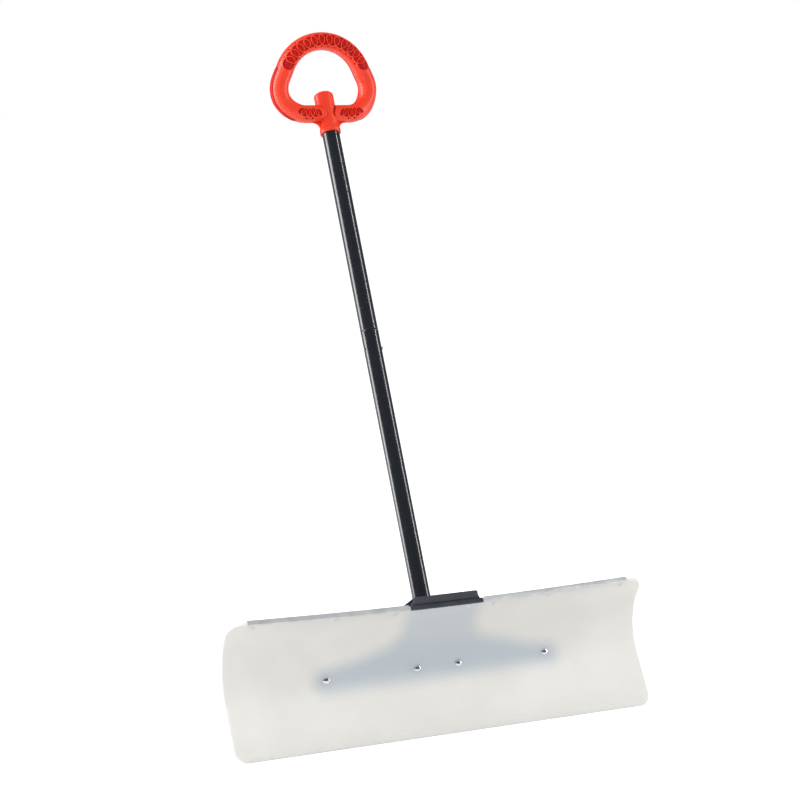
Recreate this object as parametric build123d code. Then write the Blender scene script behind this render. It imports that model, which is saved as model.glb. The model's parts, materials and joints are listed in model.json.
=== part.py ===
from build123d import *

import os
from math import acos, atan2, ceil, cos, degrees, radians, sin, sqrt, tan

# Push-type snow shovel: a wide curled plastic blade on a two-piece steel handle with a loop grip.
# Millimetres. +Z is up, +X runs along the blade, and +Y is the rear, the side the handle leans to.
# The origin is the middle of the blade's flat wear edge, which stands on the ground.

# Blade: a plastic sheet that leans back, then curls forward to its top edge.
blade_width = 762.0
blade_thickness = 6.0
lower_lean = 33.3
lower_run = 93.0
curl_run = 122.8
top_run = 29.8
curl_radius_middle = 96.0
curl_radius_end = 107.2
top_corner_radius = 26.0
bottom_corner_radius = 21.0
blade_run = lower_run + curl_run + top_run
blade_stations = [blade_width * share for share in (-0.5, -0.25, 0.0, 0.25, 0.5)]
sheet_gap = 0.2
sheet_overrun = 8.0
cutter_reach = 30.0
fit_gap = 0.05

# Top rails: two aluminium channels hooked over the blade's top edge, one each side of the bracket.
rail_inner_end = 69.0
rail_outer_end = 347.0
rail_thickness = 1.6
rail_leg = 19.0
rail_hem = 2.0

# Rivets along the top edge.
rivet_drop = 10.0
rail_rivet_places = [90.0, 193.0, 338.0]
bracket_rivet_place = 40.0
rivet_head_radius = 4.0
rivet_head_height = 1.8
rivet_shank_radius = 2.0
rivet_hole_radius = 2.1
head_lift = 0.1
rivet_tail_share = 0.85

# Bracket plate: pressed steel that lies against the blade's rear and ends in an upright lip.
plate_thickness = 2.5
plate_first_run = 84.0
plate_bar_half_width = 224.0
plate_bar_bottom = 83.0
plate_bar_top = 111.0
plate_waist_half_width = 66.0
plate_waist_height = 170.0
plate_lip_base_height = 214.0
plate_lip_top = 231.0
plate_lip_half_width = 58.0
plate_lip_flare = 1.2
plate_lip_start = 1.0
plate_bell_slope = 0.06
plate_depth_reach = 200.0
plate_shoulder_side = 100.0
plate_shoulder_height = 137.0
plate_stations = [-240.0, -120.0, 0.0, 120.0, 240.0]

# Blade bolts through the bracket's foot bar.
blade_bolt_places = [-202.0, -38.0, 38.0, 202.0]
blade_bolt_run = 116.0
blade_bolt_radius = 3.0
blade_bolt_hole_radius = 3.3
blade_bolt_head_radius = 6.6
blade_bolt_head_height = 3.6
blade_bolt_lift = 0.35
blade_bolt_tail = 2.0
washer_radius = 8.0
washer_thickness = 1.4
nut_width = 10.0
nut_thickness = 5.0
nut_bore_gap = 0.05
drill_front = -10.0
drill_rear = 20.0

# Handle line: leans back from the ground line below the blade.
handle_lean = 27.54
handle_foot_y = 22.5
tube_radius = 15.875
tube_wall = 1.6
lower_tube_start = 146.0
joint_place = 712.0
spigot_length = 98.0
spigot_clearance = 0.1
spigot_wall = 1.4
swage_length = 7.0
swage_round = 0.8
upper_tube_end = 1165.0
joint_gap = 0.2
spigot_lead = 2.0
spigot_lead_depth = 0.8
plug_flange = 3.0
plug_length = 14.0
plug_gap = 0.1
plug_wall = 2.0
plug_rim_inset = 0.2

# Saddle: pressed steel half-channel behind the tube, with wings and side webs to the plate.
saddle_thickness = 2.5
saddle_gap = 0.15
saddle_start = 130.0
saddle_side_end = 212.0
saddle_end = 226.0
saddle_half_width = 42.0
saddle_bolt_places = [168.0, 200.0]
saddle_bolt_radius = 3.0
saddle_bolt_hole_radius = 3.2
saddle_bolt_head = 4.0
saddle_bolt_tail = 2.5
saddle_front_gap = 0.2
saddle_wing_overlap = 1.0
saddle_trim_reach = 5.0
saddle_trim_drop = 2.5
saddle_trim_depth = 60.0
saddle_drill_reach = 30.0
web_inset = 0.5
web_top_drop = 3.0
web_bottom_rise = 4.0
web_last_run = 214.0
web_first_run = 131.0

# Snap buttons: two spring-loaded domes that lock the upper tube in the lower one.
button_place = 678.0
button_radius = 4.0
button_hole_radius = 4.15
button_proud = 3.6
button_dome = 2.4
button_flange_radius = 4.9
button_flange_outer = 11.4
button_flange_thickness = 1.1
spring_gap = 0.1
spring_width = 7.0
spring_thickness = 0.7
spring_foot = 634.0
spring_bend = 670.0
spring_tip = 684.0
spring_bend_radius = 3.0

# Grip: a heart-shaped closed loop round a neck, in two shells that meet at the loop's plane.
grip_cross_place = 1170.3
grip_forward_tilt = 22.5
grip_side_radius = 16.3
grip_front_depth = 22.0
grip_rear_depth = 16.3
grip_wall = 3.0
loop_crown_radius = 79.3
loop_crown_height = 22.6
loop_lobe_radius = 45.4
loop_lobe_side = 41.0
loop_lobe_height = 14.2
loop_sweep_start = 49.0
loop_sweep_end = 104.0
loop_station_step = 16.0
loop_base_gap = 4.0
neck_start = 1096.5
neck_end = 1177.0
neck_radius = 17.8
neck_rim_radius = 19.2
neck_rim_length = 5.0
neck_rim_taper = 8.0
neck_top_round = 6.0
neck_bore_gap = 0.1

# Grip windows: openings in the front shell, on the crown and both lobes, each over an insert.
# Section angles run from straight ahead towards the outside of the loop.
crown_window_first_angle = -36.0
crown_window_last_angle = 54.0
crown_window_reach = 9.0
lobe_window_first_angle = -60.0
lobe_window_last_angle = 20.0
lobe_window_start = 21.5
lobe_window_end = 69.0
insert_depth = 1.1
insert_liner_depth = 3.35
insert_thickness = 2.0
insert_liner_reach = 2.5
insert_margin_angle = 6.0
insert_gap_angle = 1.0
insert_gap = 0.4

# Grip screws from the rear, and the screw that holds the neck on the tube.
grip_screw_angles = [12.0, -36.0]
grip_screw_radius = 1.6
grip_screw_hole_radius = 1.9
grip_screw_head_radius = 3.2
grip_screw_head_height = 2.2
grip_screw_well = 9.0
grip_screw_reach = 9.0
grip_boss_radius = 4.6
grip_screw_head_gap = 0.2
grip_screw_socket_radius = 1.2
grip_screw_socket_depth = 1.2
grip_screw_fit = 0.1
grip_hole_overrun = 1.0
neck_opening_waist = 8.0
neck_screw_place = 1112.0
neck_screw_radius = 2.0
neck_screw_reach = 13.0
neck_screw_fit = 0.1
neck_screw_head_lift = 0.5
neck_screw_end_gap = 0.3
neck_screw_drill = 5.0
neck_bore_end_gap = 0.5
neck_bore_overrun = 1.0

across = Vector(1, 0, 0)


def curl_radius(x):
    """Radius of the curl at width station x: the middle curls tighter than the ends."""
    share = (2 * x / blade_width) ** 2
    return curl_radius_middle + (curl_radius_end - curl_radius_middle) * share


def sheet_slope(x, run):
    """Lean of the sheet from upright, in radians, at a length `run` up from the wear edge."""
    turned = min(max(run - lower_run, 0.0), curl_run) / curl_radius(x)
    return radians(lower_lean) - turned


def sheet_point(x, run, offset):
    """Point on the sheet's middle surface, moved `offset` to the rear along the surface normal."""
    lean = radians(lower_lean)
    slope = sheet_slope(x, run)
    flat = min(run, lower_run)
    rest = max(run - lower_run - curl_run, 0.0)
    radius = curl_radius(x)
    y = flat * sin(lean) + radius * (cos(slope) - cos(lean)) + rest * sin(slope)
    z = flat * cos(lean) + radius * (sin(lean) - sin(slope)) + rest * cos(slope)
    return Vector(x, y + offset * cos(slope), z - offset * sin(slope))


def sheet_plane(x, run):
    """Plane on the sheet's middle surface, with its normal to the rear and y up the sheet."""
    slope = sheet_slope(x, run)
    along = sheet_point(x - 1, run, 0) - sheet_point(x + 1, run, 0)
    normal = along.cross(Vector(0, sin(slope), cos(slope)))
    return Plane(origin=sheet_point(x, run, 0), x_dir=along, z_dir=normal)


def sheet_side(x, offset, first, last):
    """Edges that follow the sheet at one offset, from run `first` to run `last`."""
    curl_end = lower_run + curl_run
    edges = []
    curl_first = max(first, lower_run)
    curl_last = min(last, curl_end)
    if first < lower_run:
        edges.append(Edge.make_line(sheet_point(x, first, offset), sheet_point(x, lower_run, offset)))
    middle = (curl_first + curl_last) / 2
    ends = [sheet_point(x, run, offset) for run in (curl_first, middle, curl_last)]
    edges.append(Edge.make_three_point_arc(*ends))
    if last > curl_end:
        edges.append(Edge.make_line(sheet_point(x, curl_end, offset), sheet_point(x, last, offset)))
    return edges


def closed_section(front, rear):
    """Closed wire from the edges of the front side and the rear side of a sheet section."""
    top = Edge.make_line(front[-1] @ 1, rear[-1] @ 1)
    bottom = Edge.make_line(front[0] @ 0, rear[0] @ 0)
    return Wire([*front, top, *rear, bottom])


def on_handle(place, toward=0.0, side=0.0):
    """Point on the handle line `place` from the ground, moved to its rear and to +X."""
    lean = radians(handle_lean)
    y = handle_foot_y + place * sin(lean) + toward * cos(lean)
    return Vector(side, y, place * cos(lean) - toward * sin(lean))


def handle_plane(place):
    """Plane square to the handle, with x along the blade and y to the handle's rear."""
    lean = radians(handle_lean)
    return Plane(origin=on_handle(place), x_dir=across, z_dir=Vector(0, sin(lean), cos(lean)))


def side_plane():
    """Plane that holds the handle line, with x along the blade and y up the handle."""
    lean = radians(handle_lean)
    return Plane(origin=on_handle(0), x_dir=across, z_dir=Vector(0, -cos(lean), sin(lean)))


def handle_rod(radius, start, end):
    """Round bar on the handle line."""
    return extrude(handle_plane(start) * Circle(radius), end - start)


def handle_tube(outer, inner, start, end):
    """Round tube on the handle line."""
    return extrude(handle_plane(start) * (Circle(outer) - Circle(inner)), end - start)


def round_bar(plane, radius, start, end):
    """Round bar along a plane's normal, between two heights over the plane."""
    return extrude(plane.offset(start) * Circle(radius), end - start)


def flipped(plane, offset):
    """The same plane moved along its normal, and facing the other way."""
    return Plane(origin=plane.offset(offset).origin, x_dir=plane.x_dir, z_dir=-plane.z_dir)


def dome(plane, radius, height):
    """Rounded head that stands on a plane, on its normal's side."""
    ball = (radius ** 2 + height ** 2) / (2 * height)
    half_turn = atan2(radius, ball - height) / 2
    crest = (ball * sin(half_turn), height - ball + ball * cos(half_turn))
    outline = Polyline((0, height), (0, 0), (radius, 0))
    outline += ThreePointArc((radius, 0), crest, (0, height))
    half = make_face(Plane.XZ * outline)
    return plane * revolve(half, Axis.Z)


def hexagon(plane, width, start, thickness, bore):
    """Hexagon nut over a plane."""
    outline = RegularPolygon(width / 2, 6, major_radius=False) - Circle(bore)
    return extrude(plane.offset(start) * outline, thickness)


def corner_cutter(side, run, radius, direction):
    """Block that rounds one corner of the blade: side is -1 or 1, direction is up (1) or down (-1)."""
    plane = sheet_plane(side * blade_width / 2, run)
    margin = sheet_overrun
    centre = (side * radius, -direction * radius)
    span = radius + margin
    square = Pos(side * (radius - span / 2), direction * (span / 2 - radius)) * Rectangle(span, span)
    piece = square - Pos(*centre) * Circle(radius)
    return extrude(plane * piece, cutter_reach, both=True)


def make_blade():
    """Sheet lofted a little below the ground and cut level there, with four rounded corners."""
    half = blade_thickness / 2
    sections = []
    for x in blade_stations:
        front = sheet_side(x, -half, -sheet_overrun, blade_run)
        rear = sheet_side(x, half, -sheet_overrun, blade_run)
        sections.append(closed_section(front, rear))
    ground = Pos(0, 0, -cutter_reach / 2) * Box(2 * blade_width, 2 * cutter_reach, cutter_reach)
    blade = Solid.make_loft(sections) - ground
    for side in (-1, 1):
        blade -= corner_cutter(side, blade_run, top_corner_radius, 1)
        blade -= corner_cutter(side, 0.0, bottom_corner_radius, -1)
    return blade


def rail_section(x):
    """Section of a top rail: a leg behind the blade, hooked over its top edge to a hem in front."""
    inner = blade_thickness / 2 + sheet_gap
    outer = inner + rail_thickness
    seat = blade_run + sheet_gap
    top = seat + rail_thickness
    corners = [
        sheet_point(x, top - rail_leg, inner),
        sheet_point(x, seat, inner),
        sheet_point(x, seat, -inner),
        sheet_point(x, blade_run - rail_hem, -inner),
        sheet_point(x, blade_run - rail_hem, -outer),
        sheet_point(x, top, -outer),
        sheet_point(x, top, outer),
        sheet_point(x, top - rail_leg, outer),
    ]
    return Wire.make_polygon(corners, close=True)


def make_rail(side):
    """Aluminium channel along one half of the blade's top edge."""
    ends = [rail_inner_end, (rail_inner_end + rail_outer_end) / 2, rail_outer_end]
    places = sorted(side * end for end in ends)
    return Solid.make_loft([rail_section(x) for x in places])


def cap_section(x):
    """Section of the bracket's cap: from the lip over the blade's top edge to a hem in front."""
    inner = blade_thickness / 2 + sheet_gap
    outer = inner + rail_thickness
    seat = blade_run + sheet_gap
    top = seat + rail_thickness
    corners = [
        sheet_point(x, seat, inner),
        sheet_point(x, seat, -inner),
        sheet_point(x, blade_run - rail_hem, -inner),
        sheet_point(x, blade_run - rail_hem, -outer),
        sheet_point(x, top, -outer),
        sheet_point(x, top, inner),
    ]
    return Wire.make_polygon(corners, close=True)


def make_edge_cap():
    """Steel cap over the stretch of the blade's top edge in front of the bracket's lip."""
    places = (-plate_waist_half_width, 0.0, plate_waist_half_width)
    return Solid.make_loft([cap_section(x) for x in places])


def make_rivet(x, rear_offset):
    """Rivet with a round head in front of the blade and a set head behind the stack."""
    run = blade_run - rivet_drop
    front = -blade_thickness / 2
    plane = sheet_plane(x, run)
    head = dome(flipped(plane, front - head_lift), rivet_head_radius, rivet_head_height)
    tail_radius = rivet_head_radius * rivet_tail_share
    tail = dome(plane.offset(rear_offset + head_lift), tail_radius, rivet_head_height)
    shank = round_bar(plane, rivet_shank_radius, front - head_lift, rear_offset + head_lift)
    return head + shank + tail


def plate_section(x):
    """Section of the bracket plate: along the sheet's rear, then upright as the lip."""
    inner = blade_thickness / 2 + sheet_gap
    outer = inner + plate_thickness
    last = blade_run - plate_lip_start
    front = sheet_side(x, inner, plate_first_run, last)
    rear = sheet_side(x, outer, plate_first_run, last - plate_thickness / 2)
    front_lip_y = (front[-1] @ 1).Y
    lip_top_front = Vector(x, front_lip_y, plate_lip_top)
    lip_top_rear = Vector(x, front_lip_y + plate_thickness, plate_lip_top)
    front.append(Edge.make_line(front[-1] @ 1, lip_top_front))
    rear.append(Edge.make_line(rear[-1] @ 1, lip_top_rear))
    return closed_section(front, rear)


def plate_outline():
    """Bell outline of the bracket plate, seen square to the blade's length."""
    top = plate_lip_top + plate_lip_start
    bar_corner = (plate_bar_half_width, plate_bar_top)
    waist = (plate_waist_half_width, plate_waist_height)
    lip_base = (plate_waist_half_width, plate_lip_base_height)
    lip_middle = (plate_lip_half_width + plate_lip_flare, (plate_lip_base_height + plate_lip_top) / 2)
    lip_corner = (plate_lip_half_width, top)
    outline = Polyline((0, plate_bar_bottom), (plate_bar_half_width, plate_bar_bottom), bar_corner)
    shoulder = (plate_shoulder_side, plate_shoulder_height)
    outline += Spline(bar_corner, shoulder, waist, tangents=[(-1, plate_bell_slope), (0, 1)])
    outline += Line(waist, lip_base)
    outline += ThreePointArc(lip_base, lip_middle, lip_corner)
    outline += Polyline(lip_corner, (0, top), (0, plate_bar_bottom))
    half = make_face(outline)
    return half + mirror(half, Plane.YZ)


def make_bracket_plate():
    body = Solid.make_loft([plate_section(x) for x in plate_stations])
    return body & extrude(Plane.XZ * plate_outline(), -plate_depth_reach)


def make_saddle():
    """Half-channel behind the tube with two wings, trimmed to a sloping top edge."""
    inner = tube_radius + saddle_gap
    outer = inner + saddle_thickness
    section = Circle(outer) - Circle(inner)
    section &= Pos(0, outer / 2 + saddle_front_gap) * Rectangle(3 * outer, outer)
    wing_length = saddle_half_width - outer + saddle_wing_overlap
    wing_middle = saddle_thickness / 2 + saddle_front_gap
    for side in (-1, 1):
        place = side * (saddle_half_width - wing_length / 2)
        section += Pos(place, wing_middle) * Rectangle(wing_length, saddle_thickness)
    body = extrude(handle_plane(saddle_start) * section, saddle_end - saddle_start)
    far = saddle_half_width + saddle_trim_reach
    top = saddle_end + saddle_trim_reach
    low = saddle_side_end - saddle_trim_drop
    for side in (-1, 1):
        corners = [(side * inner, saddle_end), (side * far, low), (side * far, top), (side * inner, top)]
        trim = make_face(Polyline(*corners, close=True))
        body -= extrude(side_plane() * trim, saddle_trim_depth, both=True)
    return body


def make_web(side):
    """Side web: fills the wedge between the bracket plate's rear and the saddle's wing."""
    x = side * (saddle_half_width - saddle_thickness - web_inset)
    offset = blade_thickness / 2 + sheet_gap + plate_thickness + saddle_gap
    front = sheet_side(x, offset, web_first_run, web_last_run)
    top = on_handle(saddle_side_end - web_top_drop, saddle_front_gap - saddle_gap, x)
    bottom = on_handle(saddle_start + web_bottom_rise, saddle_front_gap - saddle_gap, x)
    edges = [*front, Edge.make_line(front[-1] @ 1, top), Edge.make_line(top, bottom)]
    edges.append(Edge.make_line(bottom, front[0] @ 0))
    return extrude(Face(Wire(edges)), amount=saddle_thickness, dir=(side, 0, 0))


def make_rivets(places, rear_offset):
    """Row of rivets at the given widths."""
    return Compound([make_rivet(x, rear_offset) for x in places])


def blade_bolt_plane(x):
    return sheet_plane(x, blade_bolt_run)


def stack_depth():
    """Distance from the sheet's middle surface to the bracket plate's rear."""
    return blade_thickness / 2 + sheet_gap + plate_thickness


def make_blade_bolts():
    """Dome-headed bolts through the blade and the bracket's foot bar."""
    front = -blade_thickness / 2
    end = stack_depth() + washer_thickness + nut_thickness + blade_bolt_tail
    bolts = []
    for x in blade_bolt_places:
        plane = blade_bolt_plane(x)
        head = dome(flipped(plane, front - blade_bolt_lift), blade_bolt_head_radius, blade_bolt_head_height)
        bolts.append(head + round_bar(plane, blade_bolt_radius, front - blade_bolt_lift, end))
    return Compound(bolts)


def make_blade_washers():
    ring = Circle(washer_radius) - Circle(blade_bolt_hole_radius)
    faces = [blade_bolt_plane(x).offset(stack_depth() + fit_gap) * ring for x in blade_bolt_places]
    return Compound([extrude(face, washer_thickness) for face in faces])


def make_blade_nuts():
    start = stack_depth() + fit_gap + washer_thickness
    bore = blade_bolt_radius + nut_bore_gap
    planes = [blade_bolt_plane(x) for x in blade_bolt_places]
    return Compound([hexagon(plane, nut_width, start, nut_thickness, bore) for plane in planes])


def drill_blade_bolts(shape):
    for x in blade_bolt_places:
        shape -= round_bar(blade_bolt_plane(x), blade_bolt_hole_radius, drill_front, drill_rear)
    return shape


def drill_rivets(shape, places):
    for x in places:
        plane = sheet_plane(x, blade_run - rivet_drop)
        shape -= round_bar(plane, rivet_hole_radius, drill_front, drill_rear)
    return shape


def saddle_bolt_plane(place):
    """Plane on the handle line with its normal to the handle's rear."""
    lean = radians(handle_lean)
    return Plane(origin=on_handle(place), x_dir=across, z_dir=Vector(0, cos(lean), -sin(lean)))


def drill_saddle_bolts(shape):
    for place in saddle_bolt_places:
        plane = saddle_bolt_plane(place)
        shape -= round_bar(plane, saddle_bolt_hole_radius, -saddle_drill_reach, saddle_drill_reach)
    return shape


def make_saddle_bolts():
    """Bolts through the saddle and the tube, with flat-sided heads behind and nuts in front."""
    rear = tube_radius + saddle_gap + saddle_thickness + fit_gap
    front = -tube_radius - nut_thickness - saddle_bolt_tail
    bolts = []
    for place in saddle_bolt_places:
        plane = saddle_bolt_plane(place)
        outline = RegularPolygon(nut_width / 2, 6, major_radius=False)
        head = extrude(plane.offset(rear) * outline, saddle_bolt_head)
        bolts.append(head + round_bar(plane, saddle_bolt_radius, front, rear))
    return Compound(bolts)


def make_saddle_nuts():
    start = -tube_radius - fit_gap - nut_thickness
    bore = saddle_bolt_radius + nut_bore_gap
    planes = [saddle_bolt_plane(place) for place in saddle_bolt_places]
    return Compound([hexagon(plane, nut_width, start, nut_thickness, bore) for plane in planes])


def button_bore(radius):
    """Round bar across the handle, along the two snap buttons' line."""
    plane = Plane(origin=on_handle(button_place), x_dir=Vector(0, 1, 0), z_dir=across)
    return round_bar(plane, radius, -2 * tube_radius, 2 * tube_radius)


def make_lower_tube():
    tube = handle_tube(tube_radius, tube_radius - tube_wall, lower_tube_start, joint_place - joint_gap)
    return drill_saddle_bolts(tube) - button_bore(button_hole_radius)


def make_lower_plug():
    start = lower_tube_start - plug_flange
    flange = handle_rod(tube_radius - plug_rim_inset, start, lower_tube_start - fit_gap)
    outer = tube_radius - tube_wall - plug_gap
    end = lower_tube_start + plug_length
    return flange + handle_tube(outer, outer - plug_wall, start + plug_flange / 2, end)


def handle_revolve(outline):
    """Solid turned about the handle line from an outline in (radius, place)."""
    return handle_plane(0) * revolve(Plane.XZ * make_face(outline), Axis.Z)


def make_upper_tube():
    """Full-width tube that steps down to a spigot inside the lower tube."""
    bore = tube_radius - tube_wall
    spigot_radius = bore - spigot_clearance
    spigot_bore = spigot_radius - spigot_wall
    spigot_end = joint_place - spigot_length
    points = [
        (tube_radius, joint_place + swage_round),
        (tube_radius, upper_tube_end),
        (bore, upper_tube_end),
        (bore, joint_place + swage_length),
        (spigot_bore, joint_place),
        (spigot_bore, spigot_end),
        (spigot_radius - spigot_lead_depth, spigot_end),
        (spigot_radius, spigot_end + spigot_lead),
        (spigot_radius, joint_place),
        (tube_radius - swage_round, joint_place),
    ]
    tube = handle_revolve(Polyline(*points, close=True))
    return tube - button_bore(button_hole_radius) - neck_screw_bar(neck_screw_radius + neck_screw_fit)


def make_snap_spring():
    """V-shaped leaf inside the spigot, with a leg behind each button."""
    leg = button_flange_outer - button_flange_thickness - spring_thickness / 2 - spring_gap
    right = [(leg, spring_tip), (leg, spring_bend)]
    left = [(-leg, spring_bend), (-leg, spring_tip)]
    path = side_plane() * FilletPolyline(*right, (0, spring_foot), *left, radius=spring_bend_radius)
    start = Plane(origin=path @ 0, x_dir=across, z_dir=path % 0)
    return sweep(start * Rectangle(spring_thickness, spring_width), path=path)


def make_snap_button(side):
    """Button with a domed tip outside the tube and a flange on the spring inside it."""
    tip = tube_radius + button_proud
    shoulder = tip - button_dome
    inner = button_flange_outer - button_flange_thickness
    plane = Plane(origin=on_handle(button_place), x_dir=Vector(0, 1, 0), z_dir=side * across)
    flange = round_bar(plane, button_flange_radius, inner, button_flange_outer)
    shank = round_bar(plane, button_radius, inner, shoulder)
    return flange + shank + dome(plane.offset(shoulder), button_radius, button_dome)


def grip_plane():
    """Plane of the grip's loop: origin on the handle line, x along the blade, normal to the front."""
    lean = radians(handle_lean - grip_forward_tilt)
    return Plane(origin=on_handle(grip_cross_place), x_dir=across, z_dir=Vector(0, -cos(lean), sin(lean)))


def loop_turn():
    """Angle, in degrees, at which the crown arc ends and the run to the lobe arc begins."""
    rise = loop_lobe_height - loop_crown_height
    distance = sqrt(loop_lobe_side ** 2 + rise ** 2)
    spread = acos((loop_crown_radius - loop_lobe_radius) / distance)
    return degrees(atan2(rise, loop_lobe_side) + spread)


def loop_lengths():
    """Lengths of the half loop's pieces: base, lobe arc, straight run and half the crown arc."""
    rise = loop_lobe_height - loop_crown_height
    distance = sqrt(loop_lobe_side ** 2 + rise ** 2)
    straight = sqrt(distance ** 2 - (loop_crown_radius - loop_lobe_radius) ** 2)
    lobe = loop_lobe_radius * radians(90 + loop_turn())
    crown = loop_crown_radius * radians(90 - loop_turn())
    return loop_lobe_side, lobe, straight, crown


def loop_place(run):
    """Side, height and heading in degrees of the loop's middle line, at a run from the base's middle."""
    base, lobe, straight, crown = loop_lengths()
    half = base + lobe + straight + crown
    if run > half:
        side, height, heading = loop_place(2 * half - run)
        return -side, height, -heading
    if run < base:
        return run, loop_lobe_height - loop_lobe_radius, 0.0
    if run < base + lobe:
        angle = (run - base) / loop_lobe_radius - radians(90)
        side = loop_lobe_side + loop_lobe_radius * cos(angle)
        return side, loop_lobe_height + loop_lobe_radius * sin(angle), degrees(angle) + 90
    turn = radians(loop_turn())
    if run < base + lobe + straight:
        along = run - base - lobe
        side = loop_lobe_side + loop_lobe_radius * cos(turn) - along * sin(turn)
        height = loop_lobe_height + loop_lobe_radius * sin(turn) + along * cos(turn)
        return side, height, degrees(turn) + 90
    angle = turn + (run - base - lobe - straight) / loop_crown_radius
    side = loop_crown_radius * cos(angle)
    return side, loop_crown_height + loop_crown_radius * sin(angle), degrees(angle) + 90


def loop_forward(run):
    """Distance of the middle line in front of the grip's plane: the base lies on the handle line."""
    half = sum(loop_lengths())
    from_base = min(run, 2 * half - run)
    share = (loop_sweep_end - from_base) / (loop_sweep_end - loop_sweep_start)
    share = min(max(share, 0.0), 1.0)
    base_depth = (loop_lobe_radius - loop_lobe_height) * tan(radians(grip_forward_tilt))
    return base_depth * share * share * (3 - 2 * share)


def loop_plane(run):
    """Plane across the loop at a run: x to the front, y to the outside of the loop."""
    side, height, heading = loop_place(run)
    plane = grip_plane()
    ahead = plane.x_dir * cos(radians(heading)) + plane.y_dir * sin(radians(heading))
    origin = plane.from_local_coords(Vector(side, height, loop_forward(run)))
    return Plane(origin=origin, x_dir=plane.z_dir, z_dir=ahead)


def loop_sector(run, inner, outer, depth, first, last):
    """Closed wire of a ring sector across the loop, between two depths under the skin."""
    far_sizes = (depth - outer, grip_side_radius - outer)
    near_sizes = (depth - inner, grip_side_radius - inner)
    far = EllipticalCenterArc((0, 0), *far_sizes, first, arc_size=last - first)
    near = EllipticalCenterArc((0, 0), *near_sizes, first, arc_size=last - first)
    ends = [Edge.make_line(far @ 1, near @ 1), Edge.make_line(near @ 0, far @ 0)]
    return loop_plane(run) * Wire([*far.edges(), ends[0], *near.edges(), ends[1]])


def loop_loft(runs, inner, outer, depth, first, last):
    """Solid along the loop: angles run from the front (0) over the outside (90) to the rear (180)."""
    return Solid.make_loft([loop_sector(run, inner, outer, depth, first, last) for run in runs])


def spaced(first, last, step):
    """Evenly spaced values from first to last, no further apart than a step."""
    count = ceil((last - first) / step)
    return [first + (last - first) * index / count for index in range(count + 1)]


def window_ranges(margin):
    """First and last run of the three windows, longer by a margin at each end, and section angles."""
    base, lobe, straight, crown = loop_lengths()
    half = base + lobe + straight + crown
    reach = crown + crown_window_reach + margin
    first = lobe_window_start - margin
    last = lobe_window_end + margin
    crown_angles = (crown_window_first_angle, crown_window_last_angle)
    lobe_angles = (lobe_window_first_angle, lobe_window_last_angle)
    return {
        "crown": (half - reach, half + reach, *crown_angles),
        "left": (2 * half - last, 2 * half - first, *lobe_angles),
        "right": (first, last, *lobe_angles),
    }


def make_insert(name):
    """Insert under one window: a liner inside the shell with a raised face that fills the window."""
    inner = insert_liner_depth + insert_thickness
    first, last, low, high = window_ranges(insert_liner_reach)[name]
    runs = spaced(first, last, loop_station_step)
    low_liner = low - insert_margin_angle
    high_liner = high + insert_margin_angle
    liner = loop_loft(runs, inner, insert_liner_depth, grip_front_depth, low_liner, high_liner)
    first, last, low, high = window_ranges(-insert_gap)[name]
    runs = spaced(first, last, loop_station_step)
    low_face = low + insert_gap_angle
    high_face = high - insert_gap_angle
    return liner + loop_loft(runs, inner, insert_depth, grip_front_depth, low_face, high_face)


def neck_solid(radius_gap, bore):
    """Neck on the handle line, from its rim to its rounded top, bored for the tube if asked."""
    start = neck_start - radius_gap
    top = neck_end + radius_gap
    radius = neck_radius + radius_gap
    rim = neck_rim_radius + radius_gap
    curve = neck_top_round
    outline = Polyline(
        (0, start),
        (rim, start),
        (rim, start + neck_rim_length),
        (radius, start + neck_rim_length + neck_rim_taper),
        (radius, top - curve),
    )
    outline += CenterArc((radius - curve, top - curve), curve, 0, 90)
    outline += Polyline((radius - curve, top), (0, top), (0, start))
    neck = handle_revolve(outline)
    if bore:
        first = neck_start - neck_bore_overrun
        neck -= handle_rod(tube_radius + neck_bore_gap, first, upper_tube_end + neck_bore_end_gap)
        neck -= neck_screw_bar(neck_screw_radius + neck_screw_fit)
    return neck


def neck_screw_bar(radius):
    plane = saddle_bolt_plane(neck_screw_place)
    return round_bar(plane, radius, neck_screw_reach, neck_radius + neck_screw_drill)


def grip_screw_plane(run):
    """Plane at a grip screw's place on the loop's middle line, facing the front."""
    side, height, _ = loop_place(run)
    plane = grip_plane()
    origin = plane.from_local_coords(Vector(side, height, loop_forward(run)))
    return Plane(origin=origin, x_dir=across, z_dir=plane.z_dir)


def grip_screw_planes():
    whole = 2 * sum(loop_lengths())
    runs = [loop_lobe_side + loop_lobe_radius * radians(90 + angle) for angle in grip_screw_angles]
    return [grip_screw_plane(run) for place in runs for run in (place, whole - place)]


def grip_half(depth, direction, first, last):
    """Half of the hollow loop, in front of its middle line (1) or behind it (-1), with screw bosses."""
    runs = spaced(loop_base_gap, 2 * sum(loop_lengths()) - loop_base_gap, loop_station_step)
    shell = loop_loft(runs, grip_wall, 0.0, depth, first, last)
    shell -= neck_solid(neck_bore_gap, False)
    reach = direction * (depth - grip_wall / 2)
    for plane in grip_screw_planes():
        shell += round_bar(plane, grip_boss_radius, min(0, reach), max(0, reach))
    return shell


def make_grip_rear_shell():
    shell = grip_half(grip_rear_depth, -1, 90.0, 270.0)
    well_radius = grip_screw_head_radius + grip_screw_head_gap
    for plane in grip_screw_planes():
        hole = round_bar(plane, grip_screw_hole_radius, -2 * grip_rear_depth, grip_hole_overrun)
        shell -= hole + round_bar(plane, well_radius, -2 * grip_rear_depth, -grip_screw_well)
    return shell


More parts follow.
